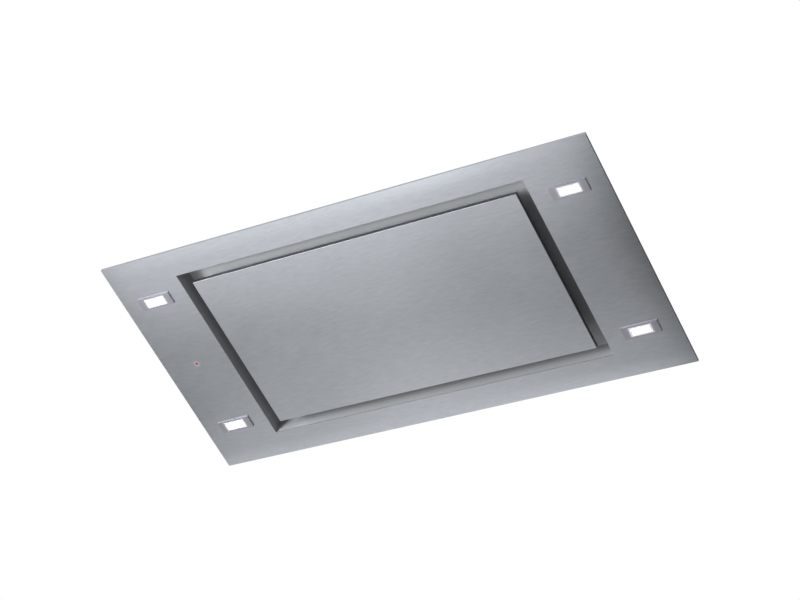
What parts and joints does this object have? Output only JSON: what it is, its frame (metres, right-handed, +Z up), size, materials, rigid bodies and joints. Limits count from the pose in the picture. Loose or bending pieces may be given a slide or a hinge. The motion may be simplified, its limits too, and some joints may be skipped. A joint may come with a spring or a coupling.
{
  "type": "built-in ceiling range hood",
  "caption": "Flush ceiling extractor hood: brushed steel face, hinged perimeter-suction panel over grease filters, rectangular lamps, blower housing with round side outlet",
  "frame": {"origin": "centre of the ceiling plane, where the face plate's folded rim meets the ceiling", "axes": "+X along the long side, +Y along the short side towards the air outlet, +Z up into the ceiling"},
  "size_m": [1, 0.525, 0.323],
  "materials": {
    "brushed_face": "brushed along the long side",
    "satin_steel": "smooth satin",
    "filter_steel": "satin",
    "filter_mesh": "layers of expanded mesh",
    "zinc_sheet": "zinc-coated sheet",
    "zinc_hardware": "zinc-plated",
    "magnet": "plated, dark",
    "foam": "closed-cell foam",
    "rubber": "matte",
    "bezel_metal": "fine satin",
    "lamp_window": "frosted, lit from behind",
    "circuit_board": "satin solder mask",
    "lamp_aluminium": "cast, fine sand-blasted",
    "spring_steel": "bright",
    "status_red": "clear red, lit from behind",
    "black_plastic": "fine texture",
    "grey_plastic": "fine texture",
    "wheel_plastic": "smooth",
    "motor_cast": "cast",
    "motor_dark": "semi-matte",
    "laminations": "stacked sheet",
    "copper": "enamelled wire",
    "polished_steel": "ground"
  },
  "bodies": {
    "housing": {"face_plate": "brushed_face", "face_nuts": "zinc_hardware", "ceiling_seal": "foam", "recess_tray": "satin_steel", "filter_seat": "zinc_sheet", "filter_magnets": "magnet", "hinge_brackets": "zinc_hardware", "hinge_pins": "polished_steel", "catch_brackets": "zinc_hardware", "catch_magnets": "magnet", "housing_shell": "zinc_sheet", "housing_cover": "zinc_sheet", "suspension_brackets": "zinc_hardware", "sheet_screws": "zinc_hardware", "hex_bolts": "zinc_hardware", "motor_plate": "zinc_sheet", "scroll_wrap": "zinc_sheet", "inlet_plate": "zinc_sheet", "inlet_nozzle": "grey_plastic", "rubber_mounts": "rubber", "motor_bearings": "polished_steel", "stator_flange": "motor_cast", "stator_core": "laminations", "stator_coils": "copper", "outlet_collar": "black_plastic", "flap_pin": "polished_steel", "flap_spring": "spring_steel", "control_box": "black_plastic", "control_lid": "black_plastic", "control_board": "circuit_board", "lamp_driver": "grey_plastic", "cable_gland": "black_plastic", "receiver_housing": "black_plastic", "status_lens": "status_red", "lamp_boards": "circuit_board", "lamp_bodies": "lamp_aluminium", "lamp_clips": "spring_steel", "lamp_bezel_1": "bezel_metal", "lamp_lens_1": "lamp_window", "lamp_bezel_2": "bezel_metal", "lamp_lens_2": "lamp_window", "lamp_bezel_3": "bezel_metal", "lamp_lens_3": "lamp_window", "lamp_bezel_4": "bezel_metal", "lamp_lens_4": "lamp_window"},
    "suction_panel": {"panel_skin": "brushed_face", "panel_back": "satin_steel", "hinge_arms": "zinc_hardware", "catch_strikes": "zinc_hardware"},
    "filter_left": {"filter_frame_left": "filter_steel", "filter_mesh_left": "filter_mesh"},
    "filter_right": {"filter_frame_right": "filter_steel", "filter_mesh_right": "filter_mesh"},
    "rotor": {"impeller": "wheel_plastic", "impeller_screws": "zinc_hardware", "rotor_cup": "motor_dark", "rotor_magnets": "magnet", "motor_shaft": "polished_steel"},
    "outlet_flap_left": {"flap_left": "grey_plastic"},
    "outlet_flap_right": {"flap_right": "grey_plastic"}
  },
  "joints": [
    {"name": "panel_hinge", "type": "hinge", "parent": "housing", "child": "suction_panel", "pos_m": [0, 0.16, 0.016], "axis": [1, 0, 0], "range_deg": [0, 90]},
    {"name": "filter_left_drop", "type": "slide", "parent": "housing", "child": "filter_left", "axis": [0, 0, -1], "range_m": [0, 0.016]},
    {"name": "filter_right_drop", "type": "slide", "parent": "housing", "child": "filter_right", "axis": [0, 0, -1], "range_m": [0, 0.016]},
    {"name": "impeller_spin", "type": "hinge", "parent": "housing", "child": "rotor", "pos_m": [-0.108, -0.01, 0.2], "axis": [0, 0, 1], "continuous": true},
    {"name": "flap_left_swing", "type": "hinge", "parent": "housing", "child": "outlet_flap_left", "pos_m": [0, 0.2354, 0.199], "axis": [0, 0, -1], "range_deg": [0, 80], "stiffness_Nm_per_rad": 0.002},
    {"name": "flap_right_swing", "type": "hinge", "parent": "housing", "child": "outlet_flap_right", "pos_m": [0, 0.2354, 0.199], "axis": [0, 0, 1], "range_deg": [0, 80], "stiffness_Nm_per_rad": 0.002}
  ]
}
